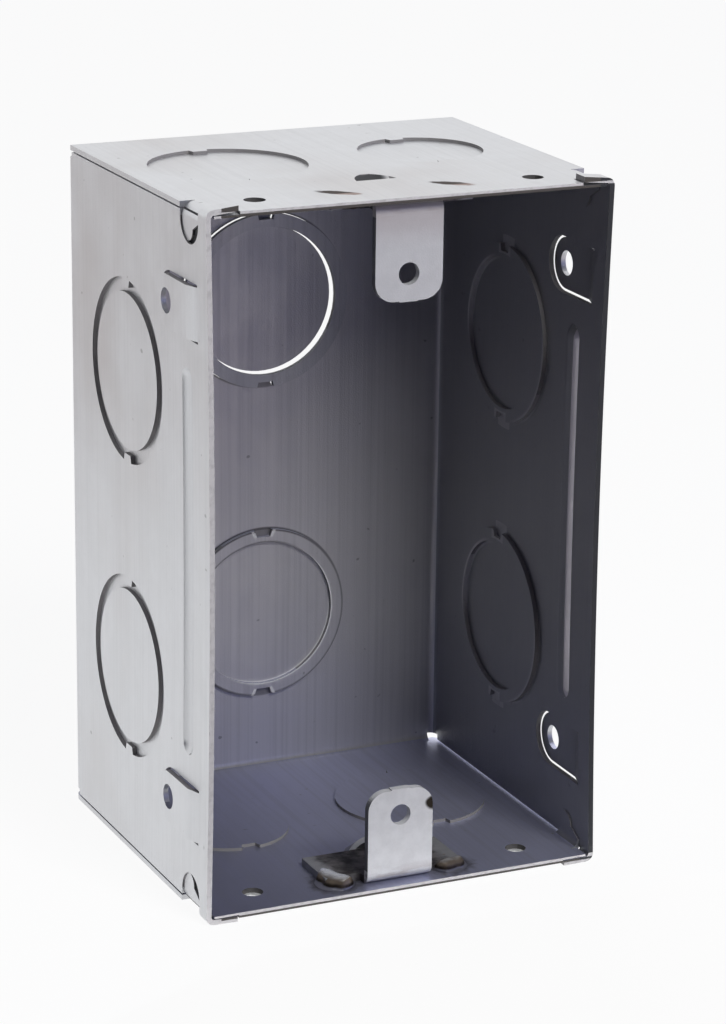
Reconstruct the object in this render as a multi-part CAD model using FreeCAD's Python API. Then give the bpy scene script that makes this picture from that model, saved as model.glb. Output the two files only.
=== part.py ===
import FreeCAD, Part
import math
import os

# Flush back box of folded galvanised sheet, standing on its lower end with the open front towards -Y.
# Everything is drawn about the middle of the height (z = 0) with y = 0 at the front edge of the walls,
# and moved at the end so that the origin is under the middle of the box, at its lowest point.

# Sheet and overall sizes (mm)
SHEET = 0.8
BODY_WIDTH = 64.5
BODY_HEIGHT = 106.4
BODY_DEPTH = 55.9
BEND_INSIDE_RADIUS = 1.2
SEAM_GAP = 0.25
CORNER_RELIEF = 1.1

# Knockouts: a double one has a ring pushed in round a flush disc, a single one a disc pushed in, all
# of them half sheared; the ring of the upper one in the back has torn free and hangs by its ties,
# and its disc has sprung a little up and to the left
KNOCKOUT_DIAMETER = 28.2
KNOCKOUT_RING_WIDTH = 2.1
KNOCKOUT_SHEAR_WEB = 0.1
KNOCKOUT_SETBACK = 31.5
DISC_PUSH = 0.5
LOOSE_RING_PUSH = 1.25
LOOSE_RIM_GAP = 0.05
LOOSE_DISC_GAP = 0.15
LOOSE_DISC_LEFT = 0.36
LOOSE_DISC_UP = 0.27
BACK_KNOCKOUT_SPACING = 52.0
SIDE_KNOCKOUT_SPACING = 46.4
END_KNOCKOUT_SPACING = 31.6
END_KNOCKOUT_DIAMETER = 24.0
SMALL_KNOCKOUT_DIAMETER = 19.2
TIE_WIDTH = 3.4
TIE_TIP_WIDTH = 2.3
TIE_DEPTH = 1.2
TIE_WEB = 0.5

# Stiffening bead of each side wall, pressed inwards between the fixing tabs
BEAD_TAB_GAP = 4.3
BEAD_DEPTH = 0.9
BEAD_RADIUS = 2.5
BEAD_SETBACK = 7.8

# Lanced fixing tab of each side wall, set outwards by a joggle at its front end
TAB_HOLE_INSET = 15.2
TAB_HOLE_SETBACK = 13.6
TAB_HOLE_DIAMETER = 3.8
TAB_HEIGHT = 7.9
TAB_OFFSET = 0.8
TAB_CUT_GAP = 0.35
JOGGLE_START = 3.6
JOGGLE_RUN = 2.4

# Corner lock: a tongue of the end wall in a notch pressed into the side wall down to a thin skin, and
# in front of it a tab of the side wall folded over the end wall
NOTCH_SETBACK = 2.8
NOTCH_WIDTH = 6.8
NOTCH_DEPTH = 5.5
NOTCH_SKIN = 0.2
TONGUE_GAP = 0.25
TONGUE_TIP_RADIUS = 1.9
TONGUE_RECESS = 0.25
FOLD_INSIDE_RADIUS = 0.5
FOLD_GAP = 0.12
FOLD_LENGTH = 5.0
FOLD_SEAT = 0.45
UPPER_FOLD_LIFT = 6.0
LOWER_FOLD_LIFT = 1.0

# End walls: plain holes, and a lanced scoop behind each ear's foot
END_HOLE_SPACING = 44.2
END_HOLE_SETBACK = 6.5
END_HOLE_DIAMETER = 3.2
SCOOP_WIDTH = 7.6
SCOOP_HEIGHT = 3.0
SCOOP_LENGTH = 4.2
SCOOP_END_HEIGHT = 0.3

# Device ears
EAR_HOLE_SPACING = 83.3
EAR_HOLE_DIAMETER = 3.3
EAR_SHEET = 1.2
EAR_WIDTH = 10.7
EAR_TIP_MARGIN = 4.0
EAR_TIP_RADIUS = 3.0
EAR_NUB_WIDTH = 3.0
EAR_NUB_HEIGHT = 0.15
EAR_SETBACK = 1.7
EAR_BEND_RADIUS = 0.5
FOOT_WIDTH = 22.4
FOOT_BACK = 13.0
FOOT_WING_SETBACK = 4.2
FOOT_SCOOP_GAP = 0.2

# Weld beads over the wings of the feet, measured on the end wall
WELD_SPACING = 18.8
WELD_SETBACK = 5.4
WELD_WIDTH = 6.2
WELD_LENGTH = 6.8
WELD_HEIGHT = 2.2

# Sizes that follow from those above
HALF_WIDTH = BODY_WIDTH / 2
HALF_HEIGHT = BODY_HEIGHT / 2
BEND_OUTSIDE_RADIUS = BEND_INSIDE_RADIUS + SHEET
KNOCKOUT_RADIUS = KNOCKOUT_DIAMETER / 2
KNOCKOUT_INNER_RADIUS = KNOCKOUT_RADIUS - KNOCKOUT_RING_WIDTH
RING_PUSH = SHEET - KNOCKOUT_SHEAR_WEB
TAB_HOLE_Z = HALF_HEIGHT - TAB_HOLE_INSET
BEAD_END_Z = TAB_HOLE_Z - TAB_HEIGHT / 2 - TAB_CUT_GAP - BEAD_TAB_GAP
NOTCH_BACK = NOTCH_SETBACK + NOTCH_WIDTH
SCOOP_MOUTH = FOOT_BACK + FOOT_SCOOP_GAP
THROUGH = 4 * SHEET

# Angles of the ties round a knockout, in degrees from its upper side
TOP_AND_BOTTOM = (0, 180)
LEFT_ONLY = (90,)
NOWHERE = ()

ORIGIN = FreeCAD.Vector(0, 0, 0)
X_AXIS = FreeCAD.Vector(1, 0, 0)
Y_AXIS = FreeCAD.Vector(0, 1, 0)
Z_AXIS = FreeCAD.Vector(0, 0, 1)


def point(x, y, z):
    return FreeCAD.Vector(x, y, z)


def block(x_range, y_range, z_range):
    """Box between the given low and high values."""
    low = point(x_range[0], y_range[0], z_range[0])
    return Part.makeBox(x_range[1] - low.x, y_range[1] - low.y, z_range[1] - low.z, low)


def mirror_x(shape):
    return shape.mirror(ORIGIN, X_AXIS)


def mirror_z(shape):
    return shape.mirror(ORIGIN, Z_AXIS)


def on_both_sides(shape):
    return [shape, mirror_x(shape)]


def on_both_ends(shape):
    return [shape, mirror_z(shape)]


def on_crossed_corners(shape):
    """The shape and its copy half a turn round, at the other end and on the other side."""
    return [shape, mirror_z(mirror_x(shape))]


def once(shape):
    return [shape]


def on_four_corners(shape):
    pair = on_both_sides(shape)
    return pair + [mirror_z(copy) for copy in pair]


def runs_along(edge, axis):
    """True where a straight edge is parallel to the axis."""
    return edge.tangentAt(edge.FirstParameter).cross(axis).Length < 0.01


def place_on_wall(shape, centre, across, along, inwards):
    """Move a shape drawn on the XY plane, outer face at z = 0 and inwards along +z, onto a wall."""
    moved = shape.copy()
    turn = FreeCAD.Rotation(across, along, inwards, "ZXY")
    moved.Placement = FreeCAD.Placement(centre, turn)
    return moved


def rounded_block(half_x, half_z, front, back, radius):
    """Block whose four back edges are rounded, the section that a folded sheet encloses."""
    plain = block((-half_x, half_x), (front, back), (-half_z, half_z))

    middle = (front + back) / 2

    def rounded_along(axis):
        picked = [edge for edge in plain.Edges if runs_along(edge, axis) and edge.CenterOfMass.y > middle]
        return plain.makeFillet(radius, picked)

    return rounded_along(Z_AXIS).common(rounded_along(X_AXIS))


def sheet_shell():
    outside = rounded_block(HALF_WIDTH, HALF_HEIGHT, 0, BODY_DEPTH, BEND_OUTSIDE_RADIUS)
    inside = rounded_block(HALF_WIDTH - SHEET, HALF_HEIGHT - SHEET, -THROUGH, BODY_DEPTH - SHEET,
                           BEND_INSIDE_RADIUS)
    return outside.cut(inside)


def seam_cuts():
    """Open seam under the end wall, with a corner relief where the two bends of the back meet."""
    seam_top = HALF_HEIGHT - SHEET
    through_wall = (HALF_WIDTH - SHEET - SEAM_GAP, HALF_WIDTH + THROUGH)
    seam = block(through_wall, (NOTCH_BACK - SEAM_GAP, BODY_DEPTH - BEND_OUTSIDE_RADIUS),
                 (seam_top - SEAM_GAP, seam_top))
    past_bend = (HALF_WIDTH - BEND_OUTSIDE_RADIUS, HALF_WIDTH + THROUGH)
    relief = block(past_bend, (BODY_DEPTH - BEND_OUTSIDE_RADIUS - SEAM_GAP, BODY_DEPTH + THROUGH),
                   (seam_top - CORNER_RELIEF, seam_top))
    return on_four_corners(seam) + on_four_corners(relief)


def notch_cuts():
    """Round-ended notch of the side wall, cut on through the edge of the end wall above it."""
    radius = NOTCH_WIDTH / 2
    middle = NOTCH_SETBACK + radius
    low = HALF_HEIGHT - NOTCH_DEPTH + radius
    bend_start = HALF_WIDTH - TONGUE_RECESS - BEND_OUTSIDE_RADIUS
    floor_x = HALF_WIDTH - SHEET + NOTCH_SKIN
    round_end = Part.makeCylinder(radius, THROUGH, point(floor_x, middle, low), X_AXIS)
    slot = block((floor_x, HALF_WIDTH + THROUGH), (NOTCH_SETBACK, NOTCH_BACK), (low, HALF_HEIGHT - SHEET))
    edge = block((bend_start, HALF_WIDTH + THROUGH), (NOTCH_SETBACK, NOTCH_BACK),
                 (HALF_HEIGHT - SHEET, HALF_HEIGHT + THROUGH))
    return on_four_corners(Part.makeCompound([round_end, slot, edge]))


def fold_cuts():
    """Corner of the end wall cut back for the folded tab, and coined thinner where the tab lies."""
    corner = block((HALF_WIDTH - SHEET - FOLD_INSIDE_RADIUS, HALF_WIDTH + THROUGH),
                   (-THROUGH, NOTCH_SETBACK),
                   (HALF_HEIGHT - SHEET - BEND_OUTSIDE_RADIUS, HALF_HEIGHT + THROUGH))
    seat = block((HALF_WIDTH - FOLD_LENGTH - SEAM_GAP, HALF_WIDTH), (-THROUGH, NOTCH_SETBACK + SEAM_GAP),
                 (HALF_HEIGHT - FOLD_SEAT, HALF_HEIGHT + THROUGH))
    return on_four_corners(Part.makeCompound([corner, seat]))


def bent_strip(outer_x, bend_z, inside_radius, leg_bottom, tip_x, lift_degrees):
    """Section of a strip that rises along x = outer_x and bends over towards the middle of the box."""
    outside_radius = inside_radius + SHEET
    centre = point(outer_x - outside_radius, 0, bend_z)
    end_angle = math.radians(90 - lift_degrees)
    middle_angle = end_angle / 2

    def around(radius, angle):
        return centre + point(radius * math.cos(angle), 0, radius * math.sin(angle))

    def along_tip(start):
        run = start.x - tip_x
        return start + point(-run, 0, run * math.tan(math.radians(lift_degrees)))

    outer_end = around(outside_radius, end_angle)
    inner_end = around(inside_radius, end_angle)
    corners = [
        Part.makeLine(point(outer_x, 0, leg_bottom), around(outside_radius, 0)),
        Part.Arc(around(outside_radius, 0), around(outside_radius, middle_angle), outer_end).toShape(),
        Part.makeLine(outer_end, along_tip(outer_end)),
        Part.makeLine(along_tip(outer_end), along_tip(inner_end)),
        Part.makeLine(along_tip(inner_end), inner_end),
        Part.Arc(inner_end, around(inside_radius, middle_angle), around(inside_radius, 0)).toShape(),
        Part.makeLine(around(inside_radius, 0), point(outer_x - SHEET, 0, leg_bottom)),
        Part.makeLine(point(outer_x - SHEET, 0, leg_bottom), point(outer_x, 0, leg_bottom)),
    ]
    return Part.Face(Part.Wire(corners))


def corner_tongues():
    """Tapered, round-tipped tongue of the end wall, bent into the notch of the side wall."""
    outer_x = HALF_WIDTH - TONGUE_RECESS
    bend_z = HALF_HEIGHT - BEND_OUTSIDE_RADIUS
    root_x = outer_x - BEND_OUTSIDE_RADIUS - SHEET
    strip = bent_strip(outer_x, bend_z, BEND_INSIDE_RADIUS, HALF_HEIGHT - NOTCH_DEPTH, root_x, 0)
    strip.translate(point(0, NOTCH_SETBACK, 0))
    solid = strip.extrude(point(0, NOTCH_WIDTH, 0))
    front = NOTCH_SETBACK + TONGUE_GAP
    back = NOTCH_BACK - TONGUE_GAP
    tip = point(root_x - SHEET, back - TONGUE_TIP_RADIUS,
                HALF_HEIGHT - NOTCH_DEPTH + TONGUE_GAP + TONGUE_TIP_RADIUS)
    tip_front = tip - Y_AXIS * TONGUE_TIP_RADIUS
    tip_back = tip + Y_AXIS * TONGUE_TIP_RADIUS
    top = HALF_HEIGHT + SHEET
    root_front = point(tip.x, front, bend_z)
    outline = Part.Wire([
        Part.makeLine(point(tip.x, front, top), root_front),
        Part.makeLine(root_front, tip_front),
        Part.Arc(tip_front, tip - Z_AXIS * TONGUE_TIP_RADIUS, tip_back).toShape(),
        Part.makeLine(tip_back, point(tip.x, back, top)),
        Part.makeLine(point(tip.x, back, top), point(tip.x, front, top)),
    ])
    keep = Part.Face(outline).extrude(point(HALF_WIDTH, 0, 0))
    return on_four_corners(solid.common(keep))


def folded_tabs():
    """Front strip of the side wall, folded over its seat on the end wall, the upper ones lifted."""
    bend_z = HALF_HEIGHT - FOLD_SEAT + FOLD_GAP - FOLD_INSIDE_RADIUS
    leg_bottom = HALF_HEIGHT - SHEET - BEND_OUTSIDE_RADIUS - SHEET

    def pair(lift_degrees):
        strip = bent_strip(HALF_WIDTH, bend_z, FOLD_INSIDE_RADIUS, leg_bottom, HALF_WIDTH - FOLD_LENGTH,
                           lift_degrees)
        return on_both_sides(strip.extrude(point(0, NOTCH_SETBACK, 0)))

    return pair(UPPER_FOLD_LIFT) + [mirror_z(tab) for tab in pair(LOWER_FOLD_LIFT)]


def tie_block(radius, low, high):
    """Tie across the edge of a knockout at the +y side of its circle."""
    inner = radius - TIE_DEPTH
    outer = radius + SHEET
    half_in = TIE_TIP_WIDTH / 2
    half_out = TIE_WIDTH / 2
    corners = [point(-half_out, outer, low), point(half_out, outer, low), point(half_in, inner, low),
               point(-half_in, inner, low), point(-half_out, outer, low)]
    return Part.Face(Part.makePolygon(corners)).extrude(point(0, 0, high - low))


def turned(shape, degrees):
    copy = shape.copy()
    copy.rotate(ORIGIN, Z_AXIS, degrees)
    return copy


def double_knockout(ring_push, rim_gap, disc_gap, disc_place, ring_web_angles, disc_tie_angles):
    """Cutter and kept metal of a double knockout, drawn on the XY plane."""
    hole = Part.makeCylinder(KNOCKOUT_RADIUS, 2 * THROUGH, point(0, 0, -THROUGH))
    disc = Part.makeCylinder(KNOCKOUT_INNER_RADIUS - disc_gap, SHEET, disc_place)
    rim = Part.makeCylinder(KNOCKOUT_RADIUS - rim_gap, SHEET, point(0, 0, ring_push))
    ring = rim.cut(Part.makeCylinder(KNOCKOUT_INNER_RADIUS, SHEET, point(0, 0, ring_push)))
    ring_top = ring_push + SHEET
    ring_tie = tie_block(KNOCKOUT_RADIUS, 0, SHEET)
    ring_notch = tie_block(KNOCKOUT_RADIUS, SHEET, ring_top)
    web_front = KNOCKOUT_RADIUS - TIE_DEPTH - TIE_WEB / 2
    web_width = (-TIE_TIP_WIDTH / 2, TIE_TIP_WIDTH / 2)
    ring_web = block(web_width, (web_front, web_front + TIE_WEB), (0, ring_top))
    disc_tie = block(web_width,
                     (KNOCKOUT_INNER_RADIUS - disc_gap - TIE_WEB, KNOCKOUT_INNER_RADIUS + TIE_WEB),
                     (0, ring_top))
    ring = ring.cut([turned(ring_notch, angle) for angle in TOP_AND_BOTTOM])
    ties = [turned(ring_tie, angle) for angle in TOP_AND_BOTTOM]
    ties += [turned(ring_web, angle) for angle in ring_web_angles]
    ties += [turned(disc_tie, angle) for angle in disc_tie_angles]
    return hole, disc.fuse([ring] + ties).removeSplitter()


def single_knockout(diameter):
    """Cutter and kept metal of a single knockout, drawn on the XY plane."""
    radius = diameter / 2
    hole = Part.makeCylinder(radius, 2 * THROUGH, point(0, 0, -THROUGH))
    disc = Part.makeCylinder(radius, SHEET, point(0, 0, DISC_PUSH))
    notch = tie_block(radius, SHEET, DISC_PUSH + SHEET)
    tie = tie_block(radius, 0, SHEET)
    disc = disc.cut([turned(notch, angle) for angle in TOP_AND_BOTTOM])
    return hole, disc.fuse([turned(tie, angle) for angle in TOP_AND_BOTTOM]).removeSplitter()


def knockouts():
    """Holes and kept metal of all ten knockouts in their places."""
    tight = double_knockout(RING_PUSH, 0, 0, ORIGIN, NOWHERE, NOWHERE)
    sprung = point(-LOOSE_DISC_LEFT, LOOSE_DISC_UP, 0)
    loose = double_knockout(LOOSE_RING_PUSH, LOOSE_RIM_GAP, LOOSE_DISC_GAP, sprung, TOP_AND_BOTTOM,
                            LEFT_ONLY)
    holes = []
    metal = []

    def add(kind, centre, across, along, inwards, copies):
        for shape, group in zip(kind, (holes, metal)):
            group.extend(copies(place_on_wall(shape, centre, across, along, inwards)))

    back_z = BACK_KNOCKOUT_SPACING / 2
    add(loose, point(0, BODY_DEPTH, back_z), X_AXIS, Z_AXIS, -Y_AXIS, once)
    add(tight, point(0, BODY_DEPTH, -back_z), X_AXIS, Z_AXIS, -Y_AXIS, once)
    side = point(-HALF_WIDTH, KNOCKOUT_SETBACK, SIDE_KNOCKOUT_SPACING / 2)
    add(tight, side, Y_AXIS, Z_AXIS, X_AXIS, on_four_corners)
    end_x = END_KNOCKOUT_SPACING / 2
    for diameter, place_x in ((END_KNOCKOUT_DIAMETER, end_x), (SMALL_KNOCKOUT_DIAMETER, -end_x)):
        centre = point(place_x, KNOCKOUT_SETBACK, -HALF_HEIGHT)
        add(single_knockout(diameter), centre, X_AXIS, Y_AXIS, Z_AXIS, on_crossed_corners)
    return holes, metal


def capsule(radius, length, axis_x, axis_y):
    """Upright round bar with ball ends; length is between the ball centres."""
    low = point(axis_x, axis_y, -length / 2)
    bar = Part.makeCylinder(radius, length, low)
    balls = [Part.makeSphere(radius, low), Part.makeSphere(radius, low + Z_AXIS * length)]
    return bar.fuse(balls).removeSplitter()


def side_beads():
    """Bead of each side wall: a groove outside and the matching ridge inside."""
    axis_x = HALF_WIDTH + BEAD_RADIUS - BEAD_DEPTH
    half_opening = math.sqrt(BEAD_RADIUS ** 2 - (BEAD_RADIUS - BEAD_DEPTH) ** 2)
    straight = 2 * (BEAD_END_Z - half_opening)
    groove = capsule(BEAD_RADIUS, straight, axis_x, BEAD_SETBACK)
    swell = capsule(BEAD_RADIUS + SHEET, straight, axis_x, BEAD_SETBACK)
    inside_wall = block((0, HALF_WIDTH - SHEET / 2), (0, BODY_DEPTH), (-HALF_HEIGHT, HALF_HEIGHT))
    return on_both_sides(groove), on_both_sides(swell.common(inside_wall))


def tab_outline(half_height, front):
    """Outline of a fixing tab in the plane of the wall: straight at the front, round at the back."""
    low = point(0, front, TAB_HOLE_Z - half_height)
    high = point(0, front, TAB_HOLE_Z + half_height)
    round_low = point(0, TAB_HOLE_SETBACK, low.z)
    round_high = point(0, TAB_HOLE_SETBACK, high.z)
    round_back = point(0, TAB_HOLE_SETBACK + half_height, TAB_HOLE_Z)
    wire = Part.Wire([
        Part.makeLine(low, round_low),
        Part.Arc(round_low, round_back, round_high).toShape(),
        Part.makeLine(round_high, high),
        Part.makeLine(high, low),
    ])
    return Part.Face(wire).extrude(point(2 * HALF_WIDTH, 0, 0))


def fixing_tabs():
    """Opening of each lanced tab and the tab itself, joggled outwards and drilled."""
    half = TAB_HEIGHT / 2
    outside = HALF_WIDTH + TAB_OFFSET
    joggle_end = JOGGLE_START + JOGGLE_RUN
    tab_back = TAB_HOLE_SETBACK + TAB_HEIGHT
    root = JOGGLE_START - SHEET
    path = [(HALF_WIDTH, root), (HALF_WIDTH, JOGGLE_START), (outside, joggle_end), (outside, tab_back)]
    inner = [(x - SHEET, y) for x, y in reversed(path)]
    corners = [point(x, y, TAB_HOLE_Z - half) for x, y in path + inner]
    section = Part.Face(Part.makePolygon(corners + corners[:1]))
    tab = section.extrude(point(0, 0, TAB_HEIGHT)).common(tab_outline(half, root))
    hole = Part.makeCylinder(TAB_HOLE_DIAMETER / 2, 2 * THROUGH,
                             point(HALF_WIDTH - THROUGH, TAB_HOLE_SETBACK, TAB_HOLE_Z), X_AXIS)
    wall = block((HALF_WIDTH - SHEET - SEAM_GAP, HALF_WIDTH + THROUGH), (0, BODY_DEPTH),
                 (-HALF_HEIGHT, HALF_HEIGHT))
    opening = tab_outline(half + TAB_CUT_GAP, JOGGLE_START).common(wall)
    return on_four_corners(opening), on_four_corners(tab.cut(hole))


def end_holes():
    hole = Part.makeCylinder(END_HOLE_DIAMETER / 2, 2 * THROUGH,
                             point(END_HOLE_SPACING / 2, END_HOLE_SETBACK, HALF_HEIGHT - THROUGH))
    return on_four_corners(hole)


def end_scoops():
    """Lanced scoop of each end wall: a round mouth behind the ear's foot that slopes back into the wall."""
    slope = point(0, SCOOP_LENGTH, SCOOP_HEIGHT - SCOOP_END_HEIGHT)
    cosine = SCOOP_LENGTH / slope.Length
    rise = SCOOP_HEIGHT * cosine
    radius = ((SCOOP_WIDTH / 2) ** 2 + rise ** 2) / (2 * rise)
    crown = HALF_HEIGHT - SHEET - SCOOP_HEIGHT
    centre = point(0, SCOOP_MOUTH, crown + radius / cosine)

    def slanting_bar(size):
        return Part.makeCylinder(size, 3 * slope.Length, centre - slope, slope)

    def behind_mouth(top):
        return block((-radius, radius), (SCOOP_MOUTH, SCOOP_MOUTH + SCOOP_LENGTH), (crown, top))

    hollow = slanting_bar(radius - SHEET).common(behind_mouth(HALF_HEIGHT + THROUGH))
    skin = slanting_bar(radius).common(behind_mouth(HALF_HEIGHT - SHEET / 2))
    return on_both_ends(hollow), on_both_ends(skin)


def box_body():
    knockout_holes, knockout_metal = knockouts()
    grooves, ridges = side_beads()
    tab_openings, tabs = fixing_tabs()
    scoop_hollows, scoop_skins = end_scoops()
    body = sheet_shell()
    body = body.cut(seam_cuts() + notch_cuts() + fold_cuts() + tab_openings)
    body = body.fuse(corner_tongues() + folded_tabs() + tabs + ridges + scoop_skins)
    body = body.cut(grooves + scoop_hollows + end_holes() + knockout_holes)
    return body.fuse(knockout_metal).removeSplitter()


def ear_blade():
    """Upright blade with a tapped hole, round corners and a small nub at its tip."""
    half = EAR_WIDTH / 2
    hole_z = EAR_HOLE_SPACING / 2
    tip_z = hole_z - EAR_TIP_MARGIN
    root_z = HALF_HEIGHT - SHEET - EAR_SHEET - EAR_BEND_RADIUS
    blade = block((-half, half), (EAR_SETBACK, EAR_SETBACK + EAR_SHEET), (tip_z, root_z))
    tip_corners = [edge for edge in blade.Edges if runs_along(edge, Y_AXIS) and edge.CenterOfMass.z < hole_z]
    blade = blade.makeFillet(EAR_TIP_RADIUS, tip_corners)
    nub = block((-EAR_NUB_WIDTH / 2, EAR_NUB_WIDTH / 2), (EAR_SETBACK, EAR_SETBACK + EAR_SHEET),
                (tip_z - EAR_NUB_HEIGHT, tip_z + EAR_NUB_HEIGHT))
    hole = Part.makeCylinder(EAR_HOLE_DIAMETER / 2, 2 * THROUGH, point(0, EAR_SETBACK - THROUGH, hole_z),
                             Y_AXIS)
    return blade.fuse(nub).cut(hole)


def ear_bend():
    """Quarter bend between the blade and the foot."""
    outside_radius = EAR_BEND_RADIUS + EAR_SHEET
    axis = point(-EAR_WIDTH / 2, EAR_SETBACK + outside_radius, HALF_HEIGHT - SHEET - outside_radius)
    outside = Part.makeCylinder(outside_radius, EAR_WIDTH, axis, X_AXIS)
    inside = Part.makeCylinder(EAR_BEND_RADIUS, EAR_WIDTH, axis, X_AXIS)
    quarter = block((-EAR_WIDTH / 2, EAR_WIDTH / 2), (EAR_SETBACK, axis.y), (axis.z, HALF_HEIGHT - SHEET))
    return outside.cut(inside).common(quarter)


def ear_foot():
    """Foot on the inner face of the end wall, with a wing each side of the blade."""
    top = HALF_HEIGHT - SHEET
    layer = (top - EAR_SHEET, top)
    bend_end = EAR_SETBACK + EAR_BEND_RADIUS + EAR_SHEET
    wings = block((-FOOT_WIDTH / 2, FOOT_WIDTH / 2), (FOOT_WING_SETBACK, FOOT_BACK), layer)
    neck = block((-EAR_WIDTH / 2, EAR_WIDTH / 2), (bend_end, FOOT_BACK), layer)
    return wings.fuse(neck)


def upper_ear():
    return ear_foot().fuse([ear_bend(), ear_blade()]).removeSplitter()


def upper_right_weld():
    """Pillow of weld metal on the end wall, the part common to two crossed bars, run over the foot's wing."""
    seat = HALF_HEIGHT - SHEET
    reach = WELD_WIDTH + WELD_LENGTH

    def lying_bar(width, axis):
        radius = ((width / 2) ** 2 + WELD_HEIGHT ** 2) / (2 * WELD_HEIGHT)
        centre = point(WELD_SPACING / 2, WELD_SETBACK, seat - WELD_HEIGHT + radius)
        return Part.makeCylinder(radius, 2 * reach, centre - axis * reach, axis)

    below_seat = block((0, HALF_WIDTH), (0, BODY_DEPTH), (0, seat))
    pillow = lying_bar(WELD_WIDTH, Y_AXIS).common(lying_bar(WELD_LENGTH, X_AXIS)).common(below_seat)
    return pillow.cut(upper_ear())


def main():
    nodes = {"box_body": box_body()}
    for end, ear in zip(("upper", "lower"), on_both_ends(upper_ear())):
        nodes[end + "_device_ear"] = ear
    names = ("upper_right_weld", "upper_left_weld", "lower_right_weld", "lower_left_weld")
    nodes.update(zip(names, on_four_corners(upper_right_weld())))

    lowest = min(shape.optimalBoundingBox().ZMin for shape in nodes.values())
    to_origin = point(0, -BODY_DEPTH / 2, -lowest)
    os.makedirs("parts", exist_ok=True)
    for name, shape in nodes.items():
        shape.translate(to_origin)
        print(name, "solids", len(shape.Solids), "valid", shape.isValid(), "volume", round(shape.Volume, 2))
        shape.exportStep("parts/" + name + ".step")


main()
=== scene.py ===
"""Looks of a flush back box of folded galvanised sheet: its finish, weld metal, light and camera."""

import math

import bmesh
import bpy
import numpy as np
from mathutils import Euler, Matrix, Vector


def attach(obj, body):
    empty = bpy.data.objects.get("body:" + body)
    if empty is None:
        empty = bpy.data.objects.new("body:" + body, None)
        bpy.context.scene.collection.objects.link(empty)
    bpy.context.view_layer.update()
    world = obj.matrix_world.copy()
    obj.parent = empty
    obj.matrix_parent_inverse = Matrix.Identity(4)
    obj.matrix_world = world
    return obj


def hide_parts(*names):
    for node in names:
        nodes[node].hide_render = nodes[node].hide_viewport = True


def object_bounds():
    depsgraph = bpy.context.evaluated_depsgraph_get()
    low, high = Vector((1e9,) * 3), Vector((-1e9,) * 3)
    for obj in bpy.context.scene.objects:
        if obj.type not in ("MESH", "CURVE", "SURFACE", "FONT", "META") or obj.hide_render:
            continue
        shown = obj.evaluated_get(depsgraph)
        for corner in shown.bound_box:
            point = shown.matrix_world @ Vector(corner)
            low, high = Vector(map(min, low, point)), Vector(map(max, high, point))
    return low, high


MM = 0.001
TO_MM = (1 / MM, 1 / MM, 1 / MM)
NO_SHIFT = (0.0, 0.0, 0.0)
TINT_OF_GREEN = 0.4


def tone(red, green, blue):
    """Opaque colour of its linear red, green and blue."""
    return (red, green, blue, 1.0)


def grey(level, tint=0.0):
    """Grey with a little blue where tint is above nought, or warmth where it is below."""
    return tone(level * (1 - tint), level * (1 - tint * TINT_OF_GREEN), level * (1 + tint))


# Camera, fitted to the edges and holes of the photograph (places in m, angles in degrees, lens in mm)
CAMERA_PLACE = (-0.21283, -0.47062, 0.20898)
CAMERA_TURN = 24.869
CAMERA_TILT = 16.872
CAMERA_ROLL = 0.697
CAMERA_LENS = 123.57
CAMERA_NEAR = 0.01
SENSOR_SIZE = 36.0

# Sizes of the box that the finish follows (mm)
MIDDLE_Z = 53.735
HALF_HEIGHT = 53.2
HALF_WIDTH = 32.25
FRONT_Y = -27.95
BACK_Y = 27.95
SHEET = 0.8
BEND_RADIUS = 2.0
BEAD_Y = -20.15
BEAD_HALF_WIDTH = 2.5
BEAD_HALF_HEIGHT = 29.4
NOTCH_FRONT_Y = -25.15
NOTCH_BACK_Y = -18.35
NOTCH_FLOOR = 31.65
NOTCH_HEIGHT = 5.5
SCOOP_MOUTH_Y = -14.75
SCOOP_HALF_WIDTH = 4.0
SCOOP_LENGTH = 4.8
END_HOLE_X = 22.1
END_HOLE_Y = -21.45
END_HOLE_REACH = 1.9
TAB_HOLE_Y = -14.35
TAB_HOLE_HEIGHT = 38.0
TAB_HOLE_REACH = 2.1
KNOCKOUT_RADIUS = 14.1
KNOCKOUT_INNER_RADIUS = 12.0
BACK_KNOCKOUT_HEIGHT = 26.0
SIDE_KNOCKOUT_HEIGHT = 23.2
SIDE_KNOCKOUT_Y = 3.55
TIE_DEPTH = 1.2
TIE_HALF_WIDTH = 1.7
TIE_SLOPE = 0.46
EAR_HOLE_HEIGHT = 41.65
EAR_HOLE_REACH = 2.0
EAR_HALF_WIDTH = 5.35
EAR_BEND_DEPTH = 2.95
NICK_HEIGHT = 13.2
BURN_X = 9.1
BURN_Y = -21.3
BURN_HALF_SIZES = (3.7, 1.2)
BURN_TURN = -38
WELD_X = 9.4
WELD_Y = -23.2
WELD_HALF_X = 3.05
WELD_HALF_Y = 3.35

# Bow of the side walls towards the inside, largest in the middle of their front edges (mm)
LEFT_BOW = 0.6
RIGHT_BOW = 0.85
BOW_POWER = 1.2
BOW_START = 26
BOW_BLEND = 4
# Way back of the front flank of the right wall's bead, which is the narrower one (mm)
BEAD_MOVE = 1.4
BEAD_MOVE_PLACES = (-27.5, -23.2, -20.2, -17.6)
BEAD_MOVE_SHARES = (0, 1, 1, 0)
BEAD_MOVE_ENDS = (BEAD_HALF_HEIGHT + 0.5, BEAD_HALF_HEIGHT + 3)
BEAD_MOVE_DEPTH = 4
# Bands that the body is cut into along an axis, and distances (m) that count as the same place
BANDS = (((0, 1, 0), 12), ((0, 0, 1), 26))
JOIN_DISTANCE = 1e-6
CUT_DISTANCE = 1e-7
SMOOTH_ANGLE = 28

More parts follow.
